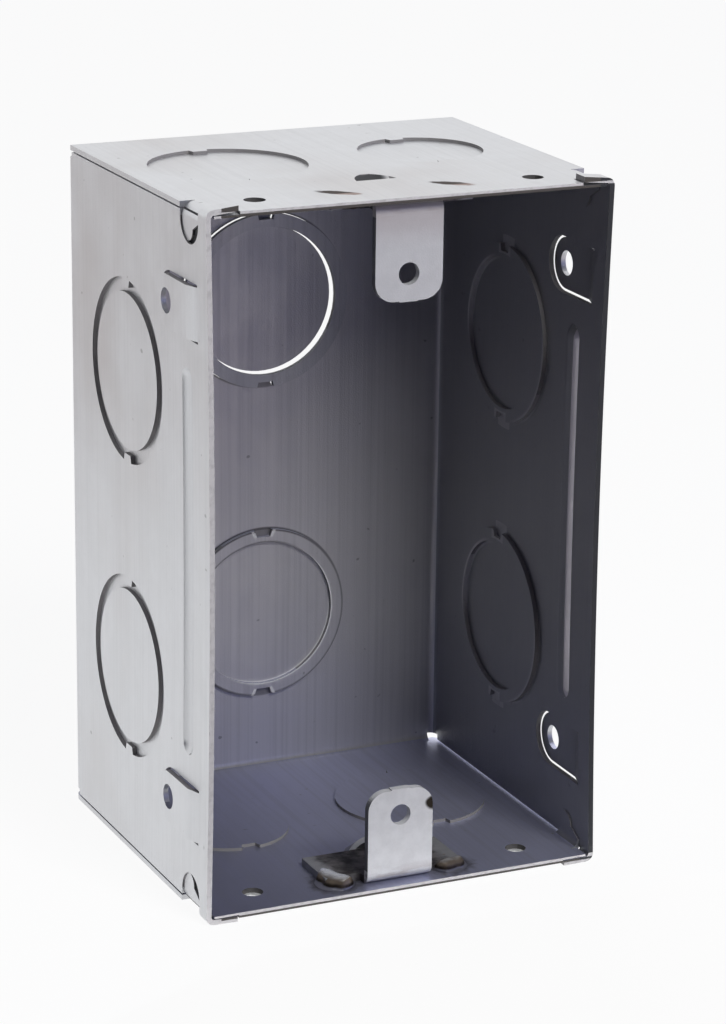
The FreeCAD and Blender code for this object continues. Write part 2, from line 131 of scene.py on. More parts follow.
# Drops of a weld: place from the weld's middle in x and y, half length, half width, height (mm), turn
# of the length from the y axis in degrees
LEFT_DROPS = (
    (-0.7, 1.1, 3.3, 1.7, 1.9, -20),
    (0.7, -1.5, 2.5, 1.9, 1.75, -40),
    (-0.8, -0.7, 1.8, 1.5, 1.2, 0),
)
RIGHT_DROPS = (
    (-0.5, -1.3, 2.9, 1.5, 1.5, 72),
    (1.5, -0.9, 1.7, 1.1, 1.4, 30),
    (0.2, 1.3, 2.3, 1.4, 1.2, 60),
)
# Form of a weld: points of its grid, heights (mm) and powers of its drops and skirt, ripples in radians
# a mm, and slope of its rim
WELD_RINGS = 26
WELD_SPOKES = 72
WELD_TOP = 2.2
UPPER_WELD_SHARE = 0.5
DROP_POWER = 0.65
JOIN_POWER = 4
SKIRT_HEIGHT = 0.3
SKIRT_POWER = 3
RIPPLE_HEIGHT = 0.03
RIPPLE_ACROSS = 2
RIPPLE_ALONG = 7
RIM_SLOPE = 6

# Floor and flags of the studio (m), the places where their light changes (mm) and its colours
FLOOR_REACH = 3.0
FLOOR_PAPER = grey(0.9)
FLOOR_GLOW = (0.15, 0.93)
UNDER_BOX_START = 6
UNDER_BOX_END = 2
FLAG_REACH = 0.9
FLAG_HEIGHT = 2.6
FLAG_START = 0.012
FLAG_LIFT = 0.5 * MM
FLAG_FADE = (0, 150)
LOW_FLAG_FADE = (-250, -110)
LOW_FLAG_DARK = tone(0.016, 0.013, 0.016)
LOW_FLAG_LIGHT = tone(1.1, 1.03, 1.06)
LOW_FLAG_SHARE = 0.47
LOW_FLAG_CORNER = -0.03
LOW_FLAG_SLANT = 0.4
HIGH_FLAG_FADE = (800, 300)
HIGH_FLAG_DARK = tone(0.02, 0.022, 0.05)
HIGH_FLAG_LIGHT = tone(0.18, 0.20, 0.44)
HIGH_FLAG_SHARE = 0.12
BACK_FLAG = tone(0.66, 0.625, 0.62)
BACK_FLAG_SIDES = (-0.7, -0.06)
BACK_FLAG_PLACES = (0.22, 1.0)
SKY_FILL = tone(0.30, 0.31, 0.36)
WHITE = grey(1.0)
LAMP_PLACE = (0.16, -0.80, 0.76)
LAMP_SIZE = 0.35
LAMP_POWER = 9.5

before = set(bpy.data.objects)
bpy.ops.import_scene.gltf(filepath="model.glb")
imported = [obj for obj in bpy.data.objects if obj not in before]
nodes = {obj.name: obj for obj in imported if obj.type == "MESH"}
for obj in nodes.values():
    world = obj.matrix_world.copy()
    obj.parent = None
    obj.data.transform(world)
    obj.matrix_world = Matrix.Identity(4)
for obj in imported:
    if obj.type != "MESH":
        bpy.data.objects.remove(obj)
cad_low, cad_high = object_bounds()


# Shader helpers

def link(tree, socket, value):
    """Set a socket to a plain value, or join it to another node's output."""
    if isinstance(value, bpy.types.NodeSocket):
        tree.links.new(value, socket)
    else:
        socket.default_value = value


def make(tree, kind, sockets=None, **settings):
    """New node of a shader tree, with its settings and its named or numbered sockets."""
    made = tree.nodes.new(kind)
    for name, value in settings.items():
        setattr(made, name, value)
    for name, value in (sockets or {}).items():
        link(tree, made.inputs[name], value)
    return made


def empty_material(name):
    """Material with an empty tree and its output node."""
    material = bpy.data.materials.new(name)
    material.use_nodes = True
    tree = material.node_tree
    tree.nodes.clear()
    return material, tree, make(tree, "ShaderNodeOutputMaterial")


def calc(tree, operation, *values):
    """Result of one arithmetic step."""
    made = make(tree, "ShaderNodeMath", operation=operation)
    for socket, value in zip(made.inputs, values):
        link(tree, socket, value)
    return made.outputs["Value"]


def plus(tree, first, second):
    """Sum of two values."""
    return calc(tree, "ADD", first, second)


def minus(tree, first, second):
    """Difference of two values."""
    return calc(tree, "SUBTRACT", first, second)


def size_of(tree, value):
    """A value without its sign."""
    return calc(tree, "ABSOLUTE", value)


def length(tree, first, second):
    """Length of a way with two parts at right angles: the root of their summed squares."""
    squares = [calc(tree, "MULTIPLY", part, part) for part in (first, second)]
    return calc(tree, "SQRT", plus(tree, *squares))


def spread(tree, value, low, high, to_low=0.0, to_high=1.0):
    """Value moved from one range to another, clamped at both ends with a soft start and stop."""
    made = make(tree, "ShaderNodeMapRange",
                {"Value": value, "From Min": low, "From Max": high, "To Min": to_low, "To Max": to_high},
                interpolation_type="SMOOTHSTEP")
    return made.outputs["Result"]


def fading(tree, value, limits):
    """One up to the first limit, falling softly to nought at the second."""
    return spread(tree, value, *limits, 1.0, 0.0)


# A mix node has its factor at socket 0, and numbers at 2 and 3, vectors at 4 and 5, colours at 6 and 7

def mixed(tree, factor, first, second):
    """Colour between two colours or colour outputs."""
    made = make(tree, "ShaderNodeMix", {0: factor, 6: first, 7: second}, data_type="RGBA")
    return made.outputs[2]


def between(tree, factor, first, second):
    """Number between two numbers or outputs."""
    made = make(tree, "ShaderNodeMix", {0: factor, 2: first, 3: second}, data_type="FLOAT")
    return made.outputs[0]


def layered(tree, mix, value, layers):
    """Colour or number under layers, from the lowest one: each is a mask and what the mask brings."""
    for mask, brought in layers:
        value = mix(tree, mask, value, brought)
    return value


def all_of(tree, *masks):
    """Product of masks."""
    result = masks[0]
    for mask in masks[1:]:
        result = calc(tree, "MULTIPLY", result, mask)
    return result


def either(tree, *masks):
    """Largest of several masks."""
    result = masks[0]
    for mask in masks[1:]:
        result = calc(tree, "MAXIMUM", result, mask)
    return result


def above(tree, value, limit):
    """One where a value is over a limit."""
    return calc(tree, "GREATER_THAN", value, limit)


def below(tree, value, limit):
    """One where a value is under a limit."""
    return calc(tree, "LESS_THAN", value, limit)


def within(tree, value, low, high):
    """One where a value lies between two limits."""
    return all_of(tree, above(tree, value, low), below(tree, value, high))


def faint(tree, mask, strength):
    """Mask or value at a share of its strength."""
    return calc(tree, "MULTIPLY", mask, strength)


def join_surface(tree, output, colour, roughness, metal, normal=None):
    """Principled surface joined to a material's output, with a normal where it has bumps."""
    sockets = {"Base Color": colour, "Roughness": roughness, "Metallic": metal}
    if normal is not None:
        sockets["Normal"] = normal
    surface = make(tree, "ShaderNodeBsdfPrincipled", sockets)
    tree.links.new(surface.outputs["BSDF"], output.inputs["Surface"])


def bumps(tree, height, strength, depth):
    """Normal of a surface with fine bumps of a height."""
    made = make(tree, "ShaderNodeBump", {"Height": height, "Strength": strength, "Distance": depth})
    return made.outputs["Normal"]


def cosine_and_sine(turn):
    """Cosine and sine of an angle in degrees."""
    return math.cos(math.radians(turn)), math.sin(math.radians(turn))


class Place:
    """Object coordinates in millimetres and the facing of the surface, for masks and patterns.

    outer is one on faces that look away from the middle of the box and inner on the others. end_facing
    is above nought on faces that look away from the middle height.
    """

    def __init__(self, tree):
        self.tree = tree
        self.object = make(tree, "ShaderNodeTexCoord").outputs["Object"]
        axes = make(tree, "ShaderNodeSeparateXYZ", {"Vector": self.scaled(TO_MM)})
        self.x, self.y, self.z = (axes.outputs[name] for name in "XYZ")
        normal = make(tree, "ShaderNodeNewGeometry").outputs["True Normal"]
        facing = make(tree, "ShaderNodeSeparateXYZ", {"Vector": normal})
        self.face_x, self.face_y, self.face_z = (facing.outputs[name] for name in "XYZ")
        self.above_middle = minus(tree, self.z, MIDDLE_Z)
        self.from_middle = size_of(tree, self.above_middle)
        self.side = size_of(tree, self.x)
        from_centre = self.scaled(TO_MM, (0.0, 0.0, -MIDDLE_Z))
        outward = make(tree, "ShaderNodeVectorMath", {0: normal, 1: from_centre}, operation="DOT_PRODUCT")
        self.outer = above(tree, outward.outputs["Value"], 0.0)
        self.inner = minus(tree, 1.0, self.outer)
        self.end_facing = all_of(tree, self.face_z, self.above_middle)

    def scaled(self, scales, shift=NO_SHIFT):
        """Object coordinates multiplied by a scale per axis and moved."""
        made = make(self.tree, "ShaderNodeMapping",
                    {"Vector": self.object, "Scale": scales, "Location": shift})
        return made.outputs["Vector"]

    def noise_at(self, vector, detail=3.0, roughness=0.5):
        """Noise from 0 to 1 at scaled coordinates."""
        made = make(self.tree, "ShaderNodeTexNoise",
                    {"Vector": vector, "Scale": 1.0, "Detail": detail, "Roughness": roughness})
        return made.outputs["Fac"]

    def noise(self, scales, shift=NO_SHIFT, **octaves):
        """Noise from 0 to 1, with so many features a metre along each axis."""
        return self.noise_at(self.scaled(scales, shift), **octaves)

    def from_pair(self, x, y):
        """Distance in the XY plane from the nearer of two points at plus and minus x."""
        return length(self.tree, minus(self.tree, self.side, x), minus(self.tree, self.y, y))

    def turned_oval(self, x, y, half_long, half_wide, turn):
        """Distance in the XY plane from one point, 1 on an oval turned from the X axis by an angle."""
        tree = self.tree
        cosine, sine = cosine_and_sine(turn)
        across = minus(tree, self.x, x)
        along = minus(tree, self.y, y)
        long_way = plus(tree, faint(tree, across, cosine), faint(tree, along, sine))
        wide_way = minus(tree, faint(tree, along, cosine), faint(tree, across, sine))
        return length(tree, faint(tree, long_way, 1 / half_long), faint(tree, wide_way, 1 / half_wide))


# Masks of the sheet

# Part of a face's normal along an axis from which it counts as facing that way: for walls, for cut
# edges, and for the steps and right wall, which lean
FACING = 0.7
EDGE_FACING = 0.6
LEANING_FACING = 0.5
# Room that masks leave round a face, and depth of a side wall with its bead (mm)
ROOM = 0.1
WALL_DEPTH = 3.0

# Rolling lines: features a metre across and along them, octaves and roughness of their noise
LINES_ACROSS = 1300
LINES_ALONG = 10
LINES_OCTAVES = {"detail": 3.0, "roughness": 0.65}


def rolling_lines(place):
    """Fine lines left by the rolls: along Z on the back and sides, along Y on the two end walls."""
    tree = place.tree
    upright = place.scaled((LINES_ACROSS, LINES_ACROSS, LINES_ALONG))
    lying = place.scaled((LINES_ACROSS, LINES_ALONG, LINES_ACROSS))
    on_end = above(tree, size_of(tree, place.face_z), FACING)
    way = make(tree, "ShaderNodeMix", {0: on_end, 4: upright, 5: lying}, data_type="VECTOR")
    return place.noise_at(way.outputs[1], **LINES_OCTAVES)


# Heat marks: reach round a weld and depth under the outer face (mm), ragged border, where a mark fades
HEAT_REACH = 4.3
HEAT_DEPTH = 8
HEAT_NOISE = {"scales": (700, 700, 700), "shift": (3.0, 1.0, 7.0)}
HEAT_RAGGED = 0.7
HEAT_FADE = (1.0, 1.5)


def heat_mark(place):
    """Mask of the heat colour on the inner faces of the end walls round the welds, ragged at its edge."""
    tree = place.tree
    ragged = faint(tree, place.noise(**HEAT_NOISE), HEAT_RAGGED)
    reach = plus(tree, faint(tree, place.from_pair(WELD_X, WELD_Y), 1 / HEAT_REACH), ragged)
    on_wall = above(tree, place.from_middle, HALF_HEIGHT - HEAT_DEPTH)
    facing_in = below(tree, place.end_facing, 0.0)
    return all_of(tree, fading(tree, reach, HEAT_FADE), on_wall, facing_in)


# Burn marks: ragged border, where a mark fades, and where its lip turns brown along Y (mm)
BURN_NOISE = {"scales": (900, 900, 900), "detail": 2.0}
BURN_RAGGED = 0.5
BURN_FADE = (0.95, 1.3)
BURN_LIP_PLACES = (BURN_Y - 1.1, BURN_Y - 0.3)
BURN_LIP = tone(0.50, 0.38, 0.33)
BURN_BROWN = tone(0.075, 0.055, 0.042)


def burn_mark(place):
    """Mask of the marks burnt by the welds on the outer faces of the end walls: turned, ragged ovals."""
    tree = place.tree
    ragged = faint(tree, place.noise(**BURN_NOISE), BURN_RAGGED)
    marks = []
    for centre in (-BURN_X, BURN_X):
        reach = place.turned_oval(centre, BURN_Y, *BURN_HALF_SIZES, BURN_TURN)
        marks.append(fading(tree, plus(tree, reach, ragged), BURN_FADE))
    outer = above(tree, place.from_middle, HALF_HEIGHT - ROOM)
    return all_of(tree, either(tree, *marks), outer)


def burn_colour(place):
    """Colour of a burn mark: a pinkish lip in front, dark brown behind it."""
    behind = spread(place.tree, place.y, *BURN_LIP_PLACES)
    return mixed(place.tree, behind, BURN_LIP, BURN_BROWN)


# Strength of the steps of the back's knockouts
BACK_STEP_SHARE = 0.5


def sheared_face(place):
    """Mask of the sheared faces: walls of the end holes, steps of the knockouts and cuts round the tabs."""
    tree = place.tree
    before_bend = below(tree, place.y, BACK_Y - BEND_RADIUS)
    flat_height = below(tree, place.from_middle, HALF_HEIGHT - BEND_RADIUS)
    flat_width = below(tree, place.side, HALF_WIDTH - BEND_RADIUS)
    across_side, across_back, across_end = (
        below(tree, size_of(tree, facing), LEANING_FACING)
        for facing in (place.face_x, place.face_y, place.face_z))
    from_hole = length(tree, minus(tree, place.y, TAB_HOLE_Y),
                       minus(tree, place.from_middle, TAB_HOLE_HEIGHT))
    on_side = all_of(tree, above(tree, place.side, HALF_WIDTH - BEND_RADIUS), before_bend, flat_height,
                     across_side, above(tree, from_hole, TAB_HOLE_REACH))
    on_end = all_of(tree, above(tree, place.from_middle, HALF_HEIGHT - BEND_RADIUS), before_bend, flat_width,
                    across_end)
    on_back = all_of(tree, above(tree, place.y, BACK_Y - BEND_RADIUS), flat_height, flat_width, across_back)
    return either(tree, on_side, on_end, faint(tree, on_back, BACK_STEP_SHARE))


def from_knockout(place, across, height, way):
    """Distance from the middle of the nearer knockout of a wall, and how far a point lies along a way.

    The way has a part across and a part up. The second result is the point's way along it over its
    distance, so it is about 1 where the two agree and -1 where they are opposed.
    """
    tree = place.tree
    high = minus(tree, place.from_middle, height)
    up = all_of(tree, high, calc(tree, "SIGN", place.above_middle))
    radius = length(tree, across, high)
    part_across, part_up = way
    along_way = plus(tree, faint(tree, across, part_across), faint(tree, up, part_up))
    return radius, calc(tree, "DIVIDE", along_way, radius)


# Lines of the back's knockouts, dark shear lines with painted shade and painted highlights: where they fade
# beside a circle or tie (mm), and their strength from one place along the way to another
LOWER_RIGHT = (0.8, -0.6)
OUTER_LINE_FADE = (0.10, 0.40)
INNER_LINE_FADE = (0.06, 0.34)
OUTER_DARK_AND_SHADE = (-1.0, 1.0, 0.85, 0.55)
INNER_SHADE = (-0.5, 0.0, 0.6, 0.0)
INNER_HIGHLIGHT = (0.0, 0.6, 0.0, 0.8)
TIE_FADE = (-0.25, 0.0)
TIE_LIP_WIDTH = 0.45
TIE_SHARE = 0.6


def knockout_outlines(place):
    """Masks of the dark lines and the painted highlights of the back's knockouts.

    The outer circle is a dark shear line, deepened by painted shade at its upper left. The inner one has a
    painted highlight at its lower right and painted shade at its upper left. The ties at the top and bottom
    are trapeziums of painted shade with painted highlights on their lips.
    """
    tree = place.tree
    radius, lower_right = from_knockout(place, place.x, BACK_KNOCKOUT_HEIGHT, LOWER_RIGHT)
    from_outer = minus(tree, KNOCKOUT_RADIUS, radius)
    from_inner = minus(tree, radius, KNOCKOUT_INNER_RADIUS)
    outer_line = fading(tree, size_of(tree, from_outer), OUTER_LINE_FADE)
    inner_line = fading(tree, size_of(tree, from_inner), INNER_LINE_FADE)
    half_tie = minus(tree, TIE_HALF_WIDTH, faint(tree, from_outer, TIE_SLOPE))
    from_lip = minus(tree, place.side, half_tie)
    in_ring = within(tree, from_outer, 0.0, TIE_DEPTH)
    tie = all_of(tree, in_ring, fading(tree, from_lip, TIE_FADE))
    lip = all_of(tree, in_ring, within(tree, from_lip, 0.0, TIE_LIP_WIDTH))
    dark = either(tree, all_of(tree, outer_line, spread(tree, lower_right, *OUTER_DARK_AND_SHADE)),
                  all_of(tree, inner_line, spread(tree, lower_right, *INNER_SHADE)),
                  faint(tree, tie, TIE_SHARE))
    bright = either(tree, all_of(tree, inner_line, spread(tree, lower_right, *INNER_HIGHLIGHT)),
                    faint(tree, lip, TIE_SHARE))
    inside = back_inside(place)
    return all_of(tree, inside, dark), all_of(tree, inside, bright)


# Painted glints on the arcs of the right wall's knockouts: where they fade beside a circle (mm), their
# strength from one place along the way to another, and the bounds (mm) and strength of the ties
UPPER_BACK = (0.87, 0.5)
ARC_FADE = (0.2, 0.6)
INNER_ARC = (0.6, 0.95)
OUTER_ARC = (-0.6, -0.95, 0.0, 0.5)
ARC_TIE_RADII = (KNOCKOUT_INNER_RADIUS + 0.6, KNOCKOUT_RADIUS + 1.3)
ARC_TIE_HALF_WIDTH = TIE_HALF_WIDTH + 0.3
ARC_TIE_SHARE = 0.5


def right_arc_glints(place):
    """Mask of the painted glints on the arcs of the right wall's knockouts, seen inside.

    They are the upper back of the inner circle, the lower front of the outer one and the ties.
    """
    tree = place.tree
    along = minus(tree, place.y, SIDE_KNOCKOUT_Y)
    radius, upper_back = from_knockout(place, along, SIDE_KNOCKOUT_HEIGHT, UPPER_BACK)
    from_outer = size_of(tree, minus(tree, radius, KNOCKOUT_RADIUS))
    from_inner = size_of(tree, minus(tree, radius, KNOCKOUT_INNER_RADIUS))
    inner_arc = all_of(tree, fading(tree, from_inner, ARC_FADE), spread(tree, upper_back, *INNER_ARC))
    outer_arc = all_of(tree, fading(tree, from_outer, ARC_FADE), spread(tree, upper_back, *OUTER_ARC))
    tie = all_of(tree, within(tree, radius, *ARC_TIE_RADII),
                 below(tree, size_of(tree, along), ARC_TIE_HALF_WIDTH))
    on_right = all_of(tree, above(tree, place.x, HALF_WIDTH - WALL_DEPTH), place.inner)
    return all_of(tree, either(tree, inner_arc, outer_arc, faint(tree, tie, ARC_TIE_SHARE)), on_right)


def end_hole(place):
    """Mask of the small holes of the end walls and their near surroundings, whose walls get a near black
    painted shade.
    """
    return below(place.tree, place.from_pair(END_HOLE_X, END_HOLE_Y), END_HOLE_REACH)


# Depth under a notch's floor that its painted shade reaches (mm)
NOTCH_SKIN = 0.3


def notch_gap(place):
    """Mask of the floor of the notches in front of the tongues, which gets a dark painted shade."""
    tree = place.tree
    along = within(tree, place.y, NOTCH_FRONT_Y, NOTCH_BACK_Y)
    high = within(tree, place.from_middle, HALF_HEIGHT - NOTCH_HEIGHT - ROOM, HALF_HEIGHT - SHEET)
    deep = within(tree, place.side, NOTCH_FLOOR - NOTCH_SKIN, NOTCH_FLOOR + ROOM)
    return all_of(tree, along, high, deep, place.outer)


# Forward facing of a bead's flank at which its painted highlight starts and is full
FLANK_FACING = (-0.1, -0.3)


def bead_highlight(place):
    """Mask of the front flanks of the beads inside the box, given a pale painted highlight."""
    tree = place.tree
    along = within(tree, place.y, BEAD_Y - BEAD_HALF_WIDTH, BEAD_Y)
    flank = spread(tree, place.face_y, *FLANK_FACING)
    on_bead = below(tree, place.from_middle, BEAD_HALF_HEIGHT)
    return all_of(tree, along, flank, place.inner, on_bead, above(tree, place.side, HALF_WIDTH - WALL_DEPTH))


def back_inside(place):
    """Mask of the inner face of the back, which gets painted light."""
    tree = place.tree
    return all_of(tree, below(tree, place.face_y, -FACING), above(tree, place.y, BACK_Y - BEND_RADIUS))


def right_inside(place):
    """Mask of the inner face of the right wall, which gets a dark painted shade."""
    return all_of(place.tree, place.inner, below(place.tree, place.face_x, -LEANING_FACING))


def lower_inside(place):
    """Mask of the inner face of the lower end wall, which gets a bluish painted shade on the left and a
    bluish painted light on the right.
    """
    return all_of(place.tree, place.inner, above(place.tree, place.face_z, FACING))


# Hollow behind a scoop: depths from the outer face, room beside it and where its painted shade ends in x (mm)
HOLLOW_START = 0.05
HOLLOW_DEPTH = 5
HOLLOW_SIDE_ROOM = 0.2
HOLLOW_RIGHT_END = (1.9, 2.7)
SCOOP_LIP_DEPTH = 4.0


def scoop_shade(place):
    """Mask of the dark painted shade in the hollow behind each lanced scoop, without its right end."""
    tree = place.tree
    deep = within(tree, place.from_middle, HALF_HEIGHT - HOLLOW_DEPTH, HALF_HEIGHT - HOLLOW_START)
    behind_mouth = within(tree, place.y, SCOOP_MOUTH_Y - ROOM, SCOOP_MOUTH_Y + SCOOP_LENGTH)
    near_scoop = below(tree, place.side, SCOOP_HALF_WIDTH + HOLLOW_SIDE_ROOM)
    left_part = fading(tree, place.x, HOLLOW_RIGHT_END)
    facing_out = above(tree, place.end_facing, 0.0)
    return all_of(tree, deep, behind_mouth, near_scoop, left_part, facing_out)


def scoop_lip(place):
    """Mask of the cut lip of each scoop's mouth, which gets a bright painted highlight."""
    tree = place.tree
    at_mouth = within(tree, place.y, SCOOP_MOUTH_Y - ROOM, SCOOP_MOUTH_Y + ROOM)
    deep = within(tree, place.from_middle, HALF_HEIGHT - SCOOP_LIP_DEPTH, HALF_HEIGHT - SHEET)
    facing_front = below(tree, place.face_y, -FACING)
    return all_of(tree, at_mouth, deep, facing_front, below(tree, place.side, SCOOP_HALF_WIDTH))


# Sheared front edges: room behind the front and beyond an end wall, width of a side wall's edge and bright
# bands of burnish and painted highlight from the outer faces (mm), and how ragged these are
EDGE_ROOM = 0.04
FOLD_ROOM = 0.03
EDGE_WIDTH = 2.4
LOW_BAND = (0.28, 0.4)
TOP_BAND = (-0.42, -0.34)
EDGE_NOISE = {"scales": (900, 900, 900)}
EDGE_RAGGED = (0.25, 0.6, 0.8, 1.0)
TORN_EDGE = tone(0.115, 0.105, 0.095)
# Painted shade: the torn edge of the right wall is darker
RIGHT_EDGE_SHADE = grey(0.055, 0.05)
# Burnish with painted highlight on the bright bands
BURNISH_AND_HIGHLIGHT = tone(0.78, 0.76, 0.745)


def cut_edge(place):
    """Mask of the sheared front faces of the walls."""
    front = below(place.tree, place.y, FRONT_Y + EDGE_ROOM)
    return all_of(place.tree, front, below(place.tree, place.face_y, -EDGE_FACING))


def burnish_and_highlight_bands(place):
    """Mask of the bright sheared edges, burnished and brightened as painted highlights: left wall, outer
    parts of the end walls' edges and lower folds.
    """
    tree = place.tree
    over_bottom = plus(tree, place.above_middle, HALF_HEIGHT)
    over_top = minus(tree, place.above_middle, HALF_HEIGHT)
    on_left = below(tree, place.x, -HALF_WIDTH + EDGE_WIDTH)
    on_low = all_of(tree, below(tree, over_bottom, SHEET + ROOM), spread(tree, over_bottom, *LOW_BAND))
    on_fold = below(tree, over_bottom, -FOLD_ROOM)
    on_top = all_of(tree, spread(tree, over_top, *TOP_BAND), below(tree, over_top, FOLD_ROOM))
    ragged = spread(tree, place.noise(**EDGE_NOISE), *EDGE_RAGGED)
    return all_of(tree, either(tree, on_left, on_low, on_fold, on_top), ragged)


def edge_colour(place):
    """Colour of the sheared edges: torn and dark, with painted shade that makes them darkest on the right
    wall, and bright bands of burnish and painted highlight.
    """
    on_right = above(place.tree, place.x, HALF_WIDTH - EDGE_WIDTH)
    torn = mixed(place.tree, on_right, TORN_EDGE, RIGHT_EDGE_SHADE)
    return mixed(place.tree, burnish_and_highlight_bands(place), torn, BURNISH_AND_HIGHLIGHT)


# Finishes

# Sheet's patterns, the ranges of them that its colours use, and places and strengths of the painted light
# and shade along x and over the middle (mm)
MOTTLE = {"scales": (150, 150, 95), "detail": 5.0, "roughness": 0.62}
CLOUD = {"scales": (30, 30, 22), "shift": (5.0, 2.0, 8.0)}
GRAIN = {"scales": (5200, 5200, 5200), "detail": 0.0}
SPECKS = {"scales": (620, 620, 620), "detail": 1.0, "shift": (9.0, 4.0, 1.0)}
MOTTLE_RANGE = (0.3, 0.7)
STAIN_RANGE = (0.48, 0.78, 0.0, 0.6)
LINE_RANGE = (0.4, 0.72)
SPECK_RANGE = (0.76, 0.82, 0.0, 0.5)
LINE_DEPTH_INSIDE = 0.16
LINE_DEPTH_OUTSIDE = 0.07
FLOOR_PAINTED_LIGHT_PLACES = (-32.0, 14.0)
BACK_PAINTED_LIGHT_BY_HEIGHT = (40.0, 8.0, 0.35, 0.9)
BACK_PAINTED_LIGHT_BY_SIDE = (-18.0, 8.0, 1.0, 0.75)
# Sheet's colours, with painted light and shade among them
COAT_DARK = grey(0.70, 0.02)
COAT_LIGHT = grey(0.76, 0.02)
STAIN = tone(0.60, 0.575, 0.572)
# Painted shade at the left and bluish painted light at the right of the inner floor
FLOOR_PAINTED_SHADE_LEFT = tone(0.21, 0.22, 0.315)
FLOOR_PAINTED_LIGHT_RIGHT = tone(0.74, 0.76, 1.0)
# Painted shade on the inside of the right wall
RIGHT_PAINTED_SHADE = grey(0.34, 0.02)
# Painted light on the inside of the back
BACK_PAINTED_LIGHT = tone(0.91, 0.89, 0.91)
LINE_COLOUR = grey(0.38, 0.02)
SPECK_COLOUR = grey(0.22)
# Pale painted highlight on the beads' front flanks
BEAD_HIGHLIGHT_COLOUR = tone(0.66, 0.63, 0.68)
SHEARED_STEEL = tone(0.32, 0.305, 0.30)
# Near black painted shade on the walls of the end holes
HOLE_PAINTED_SHADE = tone(0.045, 0.040, 0.036)
# Dark shear lines with painted shade, and painted highlights, on the back's knockouts and the scoops' lips
DARK_LINE_AND_SHADE = tone(0.10, 0.095, 0.10)
PAINTED_HIGHLIGHT = grey(0.88)
# Painted glints on the arcs of the right wall's knockouts
ARC_GLINT_COLOUR = grey(0.70)
HEAT_COLOUR = tone(0.085, 0.070, 0.060)
# Near black painted shade in the scoops' hollows and the notches
HOLLOW_PAINTED_SHADE = grey(0.05, 0.02)
# Strengths of the sheet's layers
FLOOR_PAINTED_LIGHT_SHARE = 0.8
RIGHT_PAINTED_SHADE_SHARE = 0.9
SHEARED_SHARE = 0.9
ARC_GLINT_SHARE = 0.8
HEAT_SHARE = 0.7
BURN_SHARE = 0.92
HOLLOW_SHARE = 0.92
# Sheet's roughness with the share of the lines in it, its share of metal, and its bumps
COAT_LINES = 0.5
COAT_ROUGHNESS = (0.5, 1.0, 0.36, 0.46)
HEAT_ROUGHNESS = 0.5
EDGE_ROUGHNESS = 0.55
SHEARED_ROUGHNESS = 0.7
BURNT_AND_HOLLOW_ROUGHNESS = 0.95
ZINC_METAL = 0.82
BARE_AND_PAINTED_METAL = 0.25
LINE_BUMP = 0.7
GRAIN_BUMP = 0.35
SHEET_BUMP = {"strength": 0.14, "depth": 0.0004}


